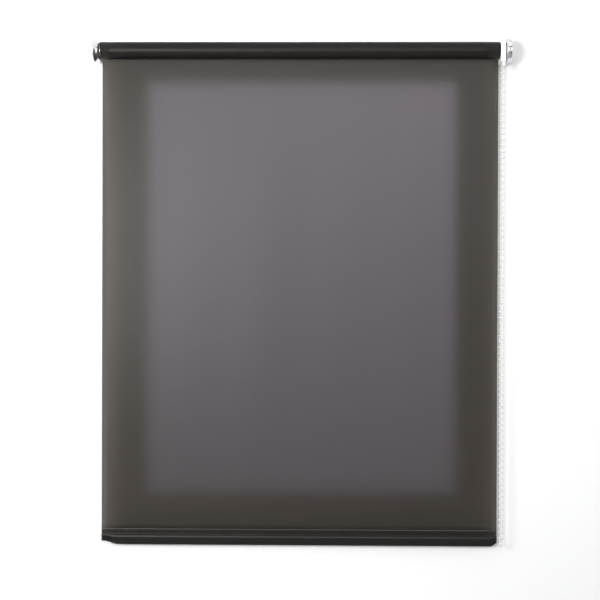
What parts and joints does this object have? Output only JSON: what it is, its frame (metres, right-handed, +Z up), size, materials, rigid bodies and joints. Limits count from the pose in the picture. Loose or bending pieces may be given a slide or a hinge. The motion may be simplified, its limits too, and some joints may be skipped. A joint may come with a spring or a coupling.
{
  "type": "roller blind",
  "caption": "Wall-mounted roller blind: dark grey translucent cloth on a tube, polished end covers, a hem with a weight bar, and a white bead chain that raises and lowers it.",
  "frame": {"origin": "on the wall, midway between the two brackets, at the height of the roller's axis", "axes": "+X to the right along the roller, +Y out of the blind's back towards the wall, +Z up"},
  "size_m": [0.843, 0.056, 1.021],
  "materials": {
    "grey_cloth": "fine plain weave, matt, lets some light through",
    "chrome": "polished",
    "zinc_steel": "zinc plated",
    "spring_steel": "drawn wire",
    "aluminium": "mill finish",
    "bar_aluminium": "mill finish",
    "white_plastic": "moulded, satin gloss",
    "chain_plastic": "moulded beads",
    "grey_plastic": "moulded, fine texture",
    "natural_plastic": "undyed acetal"
  },
  "bodies": {
    "frame": {"left_bracket": "zinc_steel", "left_cover": "chrome", "right_bracket": "zinc_steel", "right_cover": "chrome", "clutch_housing": "white_plastic", "fixed_hub": "natural_plastic", "hub_clip": "spring_steel", "hub_screw": "zinc_steel", "bead_chain": "chain_plastic", "chain_on_wheel": "chain_plastic", "fabric_drop": "grey_cloth"},
    "roller": {"roller_tube": "aluminium", "fabric_spline": "natural_plastic", "fabric_roll": "grey_cloth", "idle_plug": "grey_plastic", "pin_sleeve": "natural_plastic", "pin_spring": "spring_steel", "tube_adapter": "grey_plastic"},
    "wheel": {"chain_wheel": "white_plastic", "wrap_spring_a": "spring_steel", "wrap_spring_b": "spring_steel"},
    "pin": {"idle_pin": "zinc_steel"},
    "rail": {"fabric_hem": "grey_cloth", "bottom_bar": "bar_aluminium", "bar_cap_left": "grey_plastic", "bar_cap_right": "grey_plastic"},
    "stop": {"chain_stop": "chain_plastic"}
  },
  "joints": [
    {"name": "roller_turn", "type": "hinge", "parent": "frame", "child": "roller", "pos_m": [0, -0.032, 0], "axis": [1, 0, 0], "range_deg": [0, 2828.57]},
    {"name": "wheel_turn", "type": "hinge", "parent": "frame", "child": "wheel", "pos_m": [0.4051, -0.032, 0], "axis": [1, 0, 0], "range_deg": [0, 2828.57]},
    {"name": "rail_lift", "type": "slide", "parent": "frame", "child": "rail", "axis": [0, 0, 1], "range_m": [0, 0.9183], "deforming": ["fabric_drop"]},
    {"name": "stop_travel", "type": "slide", "parent": "frame", "child": "stop", "axis": [0, 0, -1], "range_m": [0, 0.66]},
    {"name": "pin_push", "type": "slide", "parent": "frame", "child": "pin", "axis": [1, 0, 0], "range_m": [0, 0.005], "stiffness_N_per_m": 400, "springref_m": -0.01, "deforming": ["pin_spring"]}
  ],
  "couplings": [
    {"joint": "wheel_turn", "follows": "roller_turn", "ratio": 1},
    {"joint": "rail_lift", "follows": "roller_turn", "m_per_rad": 0.0186},
    {"joint": "stop_travel", "follows": "roller_turn", "m_per_rad": 0.013369}
  ]
}
